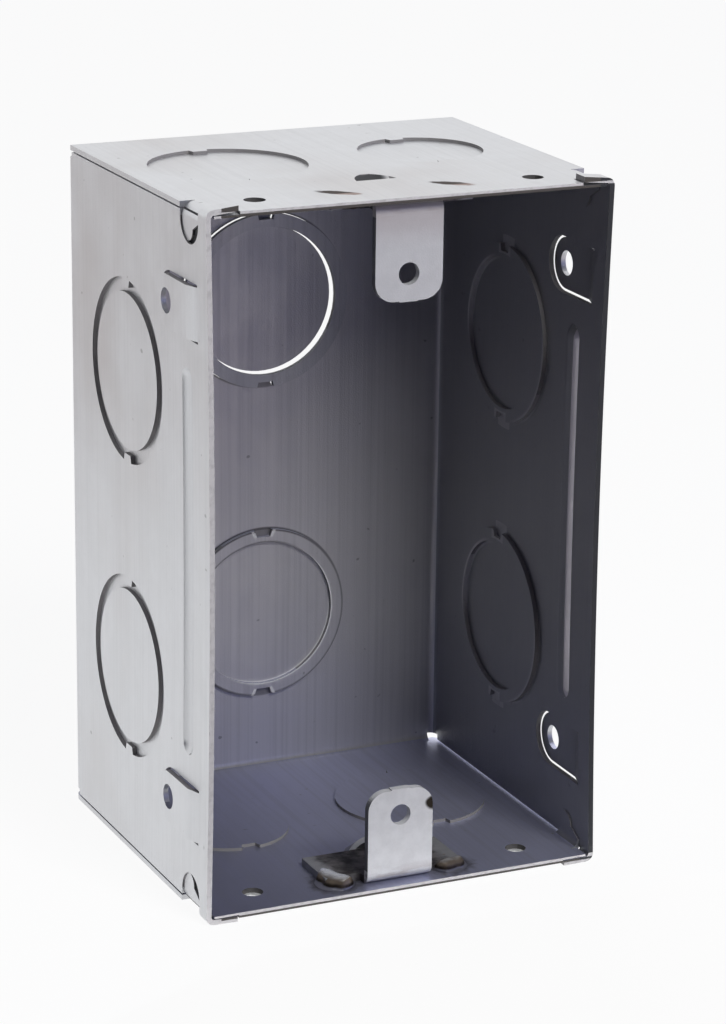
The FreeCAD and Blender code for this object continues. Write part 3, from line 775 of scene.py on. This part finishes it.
def galvanised_sheet():
    """Dull zinc coat on rolled sheet: rolling lines, soft mottling, stains, heat marks and sheared edges,
    with painted light and shade inside the box and on its knockouts, hollows, beads and edges.
    """
    material, tree, output = empty_material("galvanised_sheet")
    place = Place(tree)
    lines = rolling_lines(place)
    mottle = place.noise(**MOTTLE)
    heat = heat_mark(place)
    burn = burn_mark(place)
    # painted shade in the scoops' hollows and the notches
    hollow = either(tree, scoop_shade(place), notch_gap(place))
    sheared = sheared_face(place)
    # dark lines with painted shade and painted highlights of the back's knockouts and the scoops' lips
    dark_line_and_shade, back_highlight = knockout_outlines(place)
    painted_highlight = either(tree, back_highlight, scoop_lip(place))
    arcs = right_arc_glints(place)
    edge = cut_edge(place)

    # painted shade on the left of the inner floor and bluish painted light on its right
    floor_painted_light = mixed(tree, spread(tree, place.x, *FLOOR_PAINTED_LIGHT_PLACES), FLOOR_PAINTED_SHADE_LEFT, FLOOR_PAINTED_LIGHT_RIGHT)
    # painted light on the inner back, strongest low down and on the left
    back_painted_light = all_of(tree, back_inside(place), spread(tree, place.above_middle, *BACK_PAINTED_LIGHT_BY_HEIGHT),
                       spread(tree, place.x, *BACK_PAINTED_LIGHT_BY_SIDE))
    line_depth = all_of(tree, spread(tree, lines, *LINE_RANGE),
                        between(tree, place.outer, LINE_DEPTH_INSIDE, LINE_DEPTH_OUTSIDE))
    # the walls of the end holes take a near black painted shade instead of the sheared faces' colour
    sheared_and_hole_shade = mixed(tree, end_hole(place), SHEARED_STEEL, HOLE_PAINTED_SHADE)
    coat = mixed(tree, spread(tree, mottle, *MOTTLE_RANGE), COAT_DARK, COAT_LIGHT)
    colour = layered(tree, mixed, coat, (
        (spread(tree, place.noise(**CLOUD), *STAIN_RANGE), STAIN),
        (faint(tree, lower_inside(place), FLOOR_PAINTED_LIGHT_SHARE), floor_painted_light),
        (faint(tree, right_inside(place), RIGHT_PAINTED_SHADE_SHARE), RIGHT_PAINTED_SHADE),
        (back_painted_light, BACK_PAINTED_LIGHT),
        (line_depth, LINE_COLOUR),
        (spread(tree, place.noise(**SPECKS), *SPECK_RANGE), SPECK_COLOUR),
        (bead_highlight(place), BEAD_HIGHLIGHT_COLOUR),
        (faint(tree, sheared, SHEARED_SHARE), sheared_and_hole_shade),
        (dark_line_and_shade, DARK_LINE_AND_SHADE),
        (painted_highlight, PAINTED_HIGHLIGHT),
        (faint(tree, arcs, ARC_GLINT_SHARE), ARC_GLINT_COLOUR),
        (faint(tree, heat, HEAT_SHARE), HEAT_COLOUR),
        (faint(tree, burn, BURN_SHARE), burn_colour(place)),
        (faint(tree, hollow, HOLLOW_SHARE), HOLLOW_PAINTED_SHADE),
        (edge, edge_colour(place)),
    ))

    coat_form = plus(tree, mottle, faint(tree, lines, COAT_LINES))
    rough = layered(tree, between, spread(tree, coat_form, *COAT_ROUGHNESS), (
        (heat, HEAT_ROUGHNESS),
        (edge, EDGE_ROUGHNESS),
        (sheared, SHEARED_ROUGHNESS),
        (either(tree, burn, hollow), BURNT_AND_HOLLOW_ROUGHNESS),
    ))
    # less metal on bare cuts and burns, and on the painted shade and painted highlights
    bare_and_painted = either(tree, edge, burn, hollow, sheared, painted_highlight, arcs)
    metal = between(tree, bare_and_painted, ZINC_METAL, BARE_AND_PAINTED_METAL)
    height = plus(tree, faint(tree, lines, LINE_BUMP), faint(tree, place.noise(**GRAIN), GRAIN_BUMP))
    join_surface(tree, output, colour, rough, metal, bumps(tree, height, **SHEET_BUMP))
    return material


# Masks of an ear: facing of its rim, start of the rim from the wall, and reach and border of the nick (mm)
EAR_RIM_FACING = 0.4
EAR_RIM_UPRIGHT = (0.4, 0.8)
EAR_RIM_START = 2.2
NICK_REACH = 1.25
NICK_RAGGED = 0.5
NICK_FADE = (0.95, 1.35)


def ear_edge(place, from_wall):
    """Mask of the sheared rim of an ear's blade, without the wall of its hole."""
    tree = place.tree
    across = below(tree, size_of(tree, place.face_y), EAR_RIM_FACING)
    upright = fading(tree, size_of(tree, place.face_z), EAR_RIM_UPRIGHT)
    from_hole = length(tree, place.x, minus(tree, place.from_middle, EAR_HOLE_HEIGHT))
    return all_of(tree, across, upright, above(tree, from_wall, EAR_RIM_START),
                  above(tree, from_hole, EAR_HOLE_REACH))


def ear_nick(place, ragged):
    """Mask of a burnt nick in the right edge of the lower ear, round with a ragged border."""
    tree = place.tree
    from_nick = length(tree, minus(tree, EAR_HALF_WIDTH, place.x), minus(tree, place.z, NICK_HEIGHT))
    reach = plus(tree, faint(tree, from_nick, 1 / NICK_REACH), faint(tree, ragged, NICK_RAGGED))
    return fading(tree, reach, NICK_FADE)


# Ear's patterns, the ranges of them that its colours use, and places from the wall or the middle (mm)
EAR_MOTTLE = {"scales": (420, 420, 420), "detail": 4.0, "roughness": 0.6}
EAR_SMEAR = {"scales": (260, 900, 1600)}
EAR_GRAIN = {"scales": (4200, 4200, 4200), "detail": 2.0}
EAR_BURN = {"scales": (600, 600, 600), "shift": (2.0, 6.0, 3.0)}
EAR_RANGE = (0.3, 0.7)
SMEAR_RANGE = (0.45, 0.62)
FOOT_FADE = (1.25, 2.2)
SMUDGE_FADE = (0.8, 3.4)
WARM_SHADE_FADE = (2.5, 7.5)
COOLER_PLACES = (9.0, 11.0)
COOLER_RAGGED = 2.0
# Strengths of the ear's layers
COOLER_SHARE = 0.75
TOP_EAR_SHADE_SHARE = 0.4
WARM_SHADE_SHARE = 0.5
SMUDGE_SHARE = 0.45
# Ear's colours, share of metal, roughness and bumps
EAR_DARK = grey(0.79, 0.004)
EAR_LIGHT = grey(0.87, 0.004)
# Painted shade on the upper ear, and a warm tint darkened as painted shade near the wall
TOP_EAR_SHADE = grey(0.45, 0.01)
WARM_EAR_SHADE = tone(0.46, 0.40, 0.40)
SMUDGE = tone(0.42, 0.36, 0.35)
NICK_COLOUR = tone(0.030, 0.022, 0.014)
BURNT_DARK = tone(0.075, 0.070, 0.070)
BURNT_LIGHT = tone(0.26, 0.245, 0.24)
COOLER_FOOT = grey(0.50, 0.02)
EAR_EDGE = grey(0.20, 0.03)
EAR_METAL = 0.3
FOOT_METAL = 0.6
EAR_ROUGHNESS = 0.52
EAR_BUMP = {"strength": 0.1, "depth": 0.0003}


def ear_zinc():
    """Dull, whitish zinc plating, burnt brown on the foot and smudged near the bend, with painted shade on
    the upper ear that is warm and strongest near the wall.
    """
    material, tree, output = empty_material("ear_zinc")
    place = Place(tree)
    ragged = place.noise(**EAR_BURN)
    from_wall = minus(tree, HALF_HEIGHT - SHEET, place.from_middle)
    behind_bend = above(tree, place.y, FRONT_Y + EAR_BEND_DEPTH)
    foot = all_of(tree, behind_bend, fading(tree, from_wall, FOOT_FADE))
    smear = spread(tree, place.noise(**EAR_SMEAR), *SMEAR_RANGE)
    smudge = all_of(tree, fading(tree, from_wall, SMUDGE_FADE), smear)
    # painted shade on the upper ear, warm and strongest near the wall
    upper = above(tree, place.above_middle, 0.0)
    warm = all_of(tree, upper, fading(tree, from_wall, WARM_SHADE_FADE))
    ragged_side = plus(tree, place.side, faint(tree, ragged, COOLER_RAGGED))
    cooler = faint(tree, spread(tree, ragged_side, *COOLER_PLACES), COOLER_SHARE)

    burnt = mixed(tree, spread(tree, ragged, *EAR_RANGE), BURNT_DARK, BURNT_LIGHT)
    plating = mixed(tree, spread(tree, place.noise(**EAR_MOTTLE), *EAR_RANGE), EAR_DARK, EAR_LIGHT)
    colour = layered(tree, mixed, plating, (
        (faint(tree, upper, TOP_EAR_SHADE_SHARE), TOP_EAR_SHADE),
        (faint(tree, warm, WARM_SHADE_SHARE), WARM_EAR_SHADE),
        (faint(tree, smudge, SMUDGE_SHARE), SMUDGE),
        (ear_nick(place, ragged), NICK_COLOUR),
        (foot, mixed(tree, cooler, burnt, COOLER_FOOT)),
        (ear_edge(place, from_wall), EAR_EDGE),
    ))
    metal = between(tree, foot, EAR_METAL, FOOT_METAL)
    normal = bumps(tree, place.noise(**EAR_GRAIN), **EAR_BUMP)
    join_surface(tree, output, colour, EAR_ROUGHNESS, metal, normal)
    return material


# Weld's pattern, the ranges of its rise, patches and lean that its colours use, and the painted shade that
# dims the upper welds' painted highlight, from under to over the middle (mm)
WELD_PATCHES = {"scales": (600, 600, 600), "detail": 4.0, "roughness": 0.6}
PATCH_RISE = 0.25
CREST_RANGE = (0.62, 0.94)
FLANK_RANGE = (0.26, 0.46, 0.0, 0.85)
BASE_FADE = (0.10, 0.20)
PATCH_RANGE = (0.35, 0.7)
LEAN_RIGHT = 0.6
LEAN_RANGE = (0.35, 0.95)
UPPER_SHADE = (-1.0, 1.0, 1.0, 0.2)
# Weld's colours, and its roughness and share of metal in its scale and on its crest
SCALE_DARK = tone(0.035, 0.027, 0.022)
SCALE_LIGHT = tone(0.12, 0.095, 0.075)
# Painted highlight on the crests, and a gold painted shade with a temper tint
CREST_HIGHLIGHT = tone(0.86, 0.88, 0.91)
CREST_GOLD_SHADE = tone(0.42, 0.33, 0.22)
FLANK_BROWN = tone(0.38, 0.31, 0.23)
WELD_BASE = tone(0.36, 0.36, 0.42)
WELD_ROUGHNESS = (0.42, 0.22)
WELD_METAL = (0.8, 0.55)


def weld_metal():
    """Frozen weld: a crest with a bright painted highlight on faces turned left and back, turning to gold at
    the front right as painted shade with a temper tint, brown flank, dark scale, pale base.
    """
    material, tree, output = empty_material("weld_metal")
    place = Place(tree)
    rise = make(tree, "ShaderNodeAttribute", attribute_name="rise").outputs["Fac"]
    patches = place.noise(**WELD_PATCHES)
    crest = all_of(tree, spread(tree, plus(tree, rise, faint(tree, patches, PATCH_RISE)), *CREST_RANGE),
                   spread(tree, place.above_middle, *UPPER_SHADE))
    # the crest's colour follows its facing: painted highlight turned left and back, gold painted shade turned
    # right and front
    lean = minus(tree, faint(tree, place.face_x, LEAN_RIGHT), place.face_y)
    crest_light_and_shade = mixed(tree, spread(tree, lean, *LEAN_RANGE), CREST_HIGHLIGHT, CREST_GOLD_SHADE)
    scale = mixed(tree, spread(tree, patches, *PATCH_RANGE), SCALE_DARK, SCALE_LIGHT)
    colour = layered(tree, mixed, scale, (
        (spread(tree, rise, *FLANK_RANGE), FLANK_BROWN),
        (crest, crest_light_and_shade),
        (fading(tree, rise, BASE_FADE), WELD_BASE),
    ))
    rough = between(tree, crest, *WELD_ROUGHNESS)
    join_surface(tree, output, colour, rough, between(tree, crest, *WELD_METAL))
    return material


# Pieces

def add_piece(name, mesh, material, replaced):
    """Put a finished mesh into the scene as a piece of the box that stands for a CAD node."""
    piece = bpy.data.objects.new(name, mesh)
    mesh.materials.clear()
    mesh.materials.append(material)
    bpy.context.scene.collection.objects.link(piece)
    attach(piece, "root")
    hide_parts(replaced)


def banded_copy(node_name, name):
    """Mesh of a CAD node, cut into bands along Y and Z and made of triangles."""
    shell = bmesh.new()
    shell.from_mesh(nodes[node_name].data)
    bmesh.ops.remove_doubles(shell, verts=shell.verts, dist=JOIN_DISTANCE)
    for axis, count in BANDS:
        normal = Vector(axis)
        for level in np.linspace(cad_low.dot(normal), cad_high.dot(normal), count + 2)[1:-1]:
            everything = shell.verts[:] + shell.edges[:] + shell.faces[:]
            bmesh.ops.bisect_plane(shell, geom=everything, dist=CUT_DISTANCE,
                                   plane_co=normal * float(level), plane_no=normal)
    bmesh.ops.triangulate(shell, faces=shell.faces[:])
    mesh = bpy.data.meshes.new(name)
    shell.to_mesh(mesh)
    shell.free()
    if "custom_normal" in mesh.attributes:
        mesh.attributes.remove(mesh.attributes["custom_normal"])
    return mesh


def bowed_body(material):
    """Body with the bow that folding leaves in its side walls.

    Each point of a side wall moves inwards by the bow, times one minus the square of its height from
    the middle, times a power of its way from the back to the front. The front flank of the right
    wall's bead also moves back, and less the further a point is from it.
    """
    mesh = banded_copy("box_body", "folded_body")
    flat = np.empty(len(mesh.vertices) * 3)
    mesh.vertices.foreach_get("co", flat)
    points = flat.reshape(-1, 3)
    x, y, z = points.T / MM
    forward = np.clip((cad_high.y / MM - y) / (cad_high.y - cad_low.y) * MM, 0, 1) ** BOW_POWER
    upright = np.clip(1 - ((z - MIDDLE_Z) / HALF_HEIGHT) ** 2, 0, 1)
    on_side = np.clip((np.abs(x) - BOW_START) / BOW_BLEND, 0, 1)
    bow = np.where(x > 0, -RIGHT_BOW, LEFT_BOW)
    points[:, 0] += bow * forward * upright * on_side * MM
    beside_bead = np.interp(y, BEAD_MOVE_PLACES, BEAD_MOVE_SHARES)
    along_bead = np.interp(np.abs(z - MIDDLE_Z), BEAD_MOVE_ENDS, (1, 0))
    on_right = x > HALF_WIDTH - BEAD_MOVE_DEPTH
    points[:, 1] += BEAD_MOVE * beside_bead * along_bead * on_right * MM
    mesh.vertices.foreach_set("co", points.ravel())
    mesh.shade_smooth()
    mesh.set_sharp_from_angle(angle=math.radians(SMOOTH_ANGLE))
    mesh.update()
    add_piece("folded_body", mesh, material, "box_body")


def polar_grid(rings, spokes):
    """Radius from 0 to 1 and angle of the points of a disc, centre first, then ring by ring."""
    radii = np.linspace(0, 1, rings + 1)[1:]
    angles = np.linspace(0, 2 * math.pi, spokes, False)
    radius, angle = np.meshgrid(radii, angles, indexing="ij")
    return np.append(0, radius.ravel()), np.append(0, angle.ravel())


def polar_faces(rings, spokes):
    """Faces of a polar grid: a fan round its centre and rings of squares."""
    spoke = np.arange(spokes)
    beside = (spoke + 1) % spokes
    fan = [(0, 1 + first, 1 + second) for first, second in zip(spoke, beside)]
    ring = np.arange(rings - 1)[:, None] * spokes + 1
    squares = np.stack([ring + spoke, ring + spokes + spoke, ring + spokes + beside, ring + beside], -1)
    return fan + [tuple(face) for face in squares.reshape(-1, 4).tolist()]


def weld_height(x, y, radius, drops):
    """Height of a weld's points over the wall.

    It is the fourth root of the summed fourth powers of the drops and of a low skirt, with ripples and
    a flat limit, and it falls to nothing at the rim. A drop is its height times a power of one minus
    the squares of the ways across and along its oval. The skirt falls with a power of the radius.
    """
    total = np.zeros_like(x)
    for drop_x, drop_y, half_long, half_wide, drop_height, turn in drops:
        cosine, sine = cosine_and_sine(turn)
        across = ((x - drop_x) * cosine - (y - drop_y) * sine) / half_wide
        along = ((x - drop_x) * sine + (y - drop_y) * cosine) / half_long
        drop = drop_height * np.clip(1 - across ** 2 - along ** 2, 0, 1) ** DROP_POWER
        total += drop ** JOIN_POWER
    rise = total ** (1 / JOIN_POWER)
    skirt = SKIRT_HEIGHT * np.clip(1 - radius ** SKIRT_POWER, 0, 1)
    ripple = RIPPLE_HEIGHT * np.sin(RIPPLE_ALONG * y + RIPPLE_ACROSS * x) * np.clip(rise, 0, 1)
    joined = (total + skirt ** JOIN_POWER) ** (1 / JOIN_POWER) + ripple
    return np.minimum(joined, WELD_TOP) * np.clip((1 - radius) * RIM_SLOPE, 0, 1)


def weld_bead(end, side, drops, material):
    """Frozen weld over the edge of an ear's foot.

    Its top is a polar grid over the weld's oval, and a flat grid on the wall closes it from below. The
    upper welds stand at a share of the lower ones' height.
    """
    name = f"{end}_{side}_weld"
    radius, angle = polar_grid(WELD_RINGS, WELD_SPOKES)
    x = radius * np.cos(angle) * WELD_HALF_X
    y = radius * np.sin(angle) * WELD_HALF_Y
    height = weld_height(x, y, radius, drops)
    outward = -1
    if end == "upper":
        outward = 1
        height = height * UPPER_WELD_SHARE
    wall = MIDDLE_Z + outward * (HALF_HEIGHT - SHEET)
    centre_x = WELD_X if side == "right" else -WELD_X
    top = np.column_stack([centre_x + x, WELD_Y + y, wall - outward * height])
    bottom = np.column_stack([centre_x + x, WELD_Y + y, np.full_like(x, wall)])
    inside_rim = np.flatnonzero(radius < 1)
    points = np.vstack([top, bottom[inside_rim]]) * MM
    number_below = np.arange(len(x))
    number_below[inside_rim] = len(x) + np.arange(len(inside_rim))
    upper_faces = polar_faces(WELD_RINGS, WELD_SPOKES)
    lower_faces = [tuple(int(number_below[corner]) for corner in reversed(face)) for face in upper_faces]

    mesh = bpy.data.meshes.new(name)
    mesh.from_pydata(points.tolist(), [], upper_faces + lower_faces)
    if end == "upper":
        mesh.flip_normals()
    level = mesh.attributes.new("rise", "FLOAT", "POINT")
    level.data.foreach_set("value", np.append(height, np.zeros(len(inside_rim))) / WELD_TOP)
    mesh.shade_smooth()
    mesh.update()
    add_piece(name + "_bead", mesh, material, name)


def dress(node_name, material):
    """Give a CAD node a better finish in its own material slots."""
    for place in nodes[node_name].material_slots:
        place.material = material


# Light, floor and camera

def seen_directly(tree):
    """One for rays of the camera, of mirrors and of glass, nought for scattered light."""
    path = make(tree, "ShaderNodeLightPath")
    kinds = ("Is Camera Ray", "Is Glossy Ray", "Is Transmission Ray")
    return either(tree, *(path.outputs[kind] for kind in kinds))


def white_sky():
    """World that is white where it is seen and a soft fill elsewhere."""
    world = bpy.data.worlds.new("white_sky")
    world.use_nodes = True
    tree = world.node_tree
    tree.nodes.clear()
    colour = mixed(tree, seen_directly(tree), SKY_FILL, WHITE)
    back = make(tree, "ShaderNodeBackground", {"Color": colour, "Strength": 1.0})
    make(tree, "ShaderNodeOutputWorld", {"Surface": back.outputs["Background"]})
    bpy.context.scene.world = world


def white_floor():
    """Pale floor whose seen part is near white, keeps the box's shadow and is darker under the box."""
    material, tree, output = empty_material("white_floor")
    paper = make(tree, "ShaderNodeBsdfDiffuse", {"Color": FLOOR_PAPER})
    glow = make(tree, "ShaderNodeEmission", {"Color": WHITE, "Strength": 1.0})
    place = Place(tree)
    across = spread(tree, place.side, HALF_WIDTH - UNDER_BOX_START, HALF_WIDTH - UNDER_BOX_END)
    along = spread(tree, size_of(tree, place.y), BACK_Y - UNDER_BOX_START, BACK_Y - UNDER_BOX_END)
    open_floor = spread(tree, either(tree, across, along), 0.0, 1.0, *FLOOR_GLOW)
    share = all_of(tree, seen_directly(tree), open_floor)
    both = make(tree, "ShaderNodeMixShader",
                {0: share, 1: paper.outputs["BSDF"], 2: glow.outputs["Emission"]})
    tree.links.new(both.outputs["Shader"], output.inputs["Surface"])
    return material


def stage_sheet(name, corners, material):
    """Flat sheet of the studio between its corners."""
    mesh = bpy.data.meshes.new(name)
    mesh.from_pydata(corners, [], [tuple(range(len(corners)))])
    mesh.materials.append(material)
    made = bpy.data.objects.new(name, mesh)
    bpy.context.scene.collection.objects.link(made)
    return made


def level_corners(sides, places, height):
    """Corners of a level sheet between two sides in x and two places in y."""
    (left, right), (front, back) = sides, places
    return [(left, front, height), (right, front, height), (right, back, height), (left, back, height)]


def upright_corners(first, second):
    """Corners of an upright flag over the way between two points of the floor."""
    return [(*first, FLAG_LIFT), (*second, FLAG_LIFT), (*second, FLAG_HEIGHT), (*first, FLAG_HEIGHT)]


def flag_material(name, left, right, axis="y", fade=(0, 1), share=1.0):
    """Dim card that the camera doesn't see, of one colour on the left and another on the right.

    Along the given axis it grows from a share of its light at the first place to all of it at the second.
    """
    material, tree, output = empty_material(name)
    place = Place(tree)
    colour = mixed(tree, spread(tree, place.x, *FLAG_FADE), left, right)
    strength = spread(tree, getattr(place, axis), *fade, share, 1.0)
    glow = make(tree, "ShaderNodeEmission", {"Color": colour, "Strength": strength})
    tree.links.new(glow.outputs["Emission"], output.inputs["Surface"])
    return material


def studio():
    """White floor, and dim flags on the floor, before and beside the open front and behind the box."""
    both_ways = (-FLOOR_REACH, FLOOR_REACH)
    stage_sheet("floor", level_corners(both_ways, both_ways, 0), white_floor())
    low_dim = flag_material("low_dim_flag", LOW_FLAG_DARK, LOW_FLAG_LIGHT, "y", LOW_FLAG_FADE, LOW_FLAG_SHARE)
    high_dim = flag_material("high_dim_flag", HIGH_FLAG_DARK, HIGH_FLAG_LIGHT, "z", HIGH_FLAG_FADE,
                             HIGH_FLAG_SHARE)
    warm = flag_material("warm_flag", BACK_FLAG, BACK_FLAG)
    near = cad_low.y - FLAG_START
    away = near - FLAG_REACH
    reach = FLAG_REACH
    lift = FLAG_LIFT
    flags = {
        "low_flag": (low_dim, [(-reach, away, lift), (reach, away, lift), (reach, near, lift),
                               (LOW_FLAG_CORNER, near, lift), (-reach, near - LOW_FLAG_SLANT, lift)]),
        "high_flag": (high_dim, upright_corners((-reach, away), (reach, away))),
        "right_flag": (high_dim, upright_corners((reach, away), (reach, near))),
        "left_flag": (high_dim, upright_corners((-reach, away), (-reach, near))),
        "back_flag": (warm, level_corners(BACK_FLAG_SIDES, BACK_FLAG_PLACES, lift)),
    }
    for name, (material, corners) in flags.items():
        flag = stage_sheet(name, corners, material)
        flag.visible_camera = False
        flag.visible_shadow = False


def key_lamp():
    """Square area lamp turned towards the middle of the box, which mirrors don't see."""
    lamp = bpy.data.lights.new("key_lamp", "AREA")
    lamp.size = LAMP_SIZE
    lamp.energy = LAMP_POWER
    made = bpy.data.objects.new("key_lamp", lamp)
    made.location = LAMP_PLACE
    way = (cad_low + cad_high) / 2 - Vector(LAMP_PLACE)
    made.rotation_euler = way.to_track_quat("-Z", "Y").to_euler()
    made.visible_glossy = False
    bpy.context.scene.collection.objects.link(made)


def camera():
    """Camera of the photograph: tilted down, turned about the upright axis and rolled about its view."""
    data = bpy.data.cameras.new("camera")
    data.sensor_width = SENSOR_SIZE
    data.lens = CAMERA_LENS
    data.clip_start = CAMERA_NEAR
    made = bpy.data.objects.new("camera", data)
    turn = Euler((math.radians(90 - CAMERA_TILT), 0, math.radians(-CAMERA_TURN))).to_matrix()
    roll = Matrix.Rotation(math.radians(CAMERA_ROLL), 3, "Z")
    made.matrix_world = Matrix.Translation(CAMERA_PLACE) @ (turn @ roll).to_4x4()
    bpy.context.scene.collection.objects.link(made)
    bpy.context.scene.camera = made


bowed_body(galvanised_sheet())
zinc = ear_zinc()
weld = weld_metal()
for end_name in ("upper", "lower"):
    dress(end_name + "_device_ear", zinc)
    for side_name, side_drops in (("left", LEFT_DROPS), ("right", RIGHT_DROPS)):
        weld_bead(end_name, side_name, side_drops, weld)

bpy.context.scene.view_settings.view_transform = "Standard"
white_sky()
studio()
key_lamp()
camera()
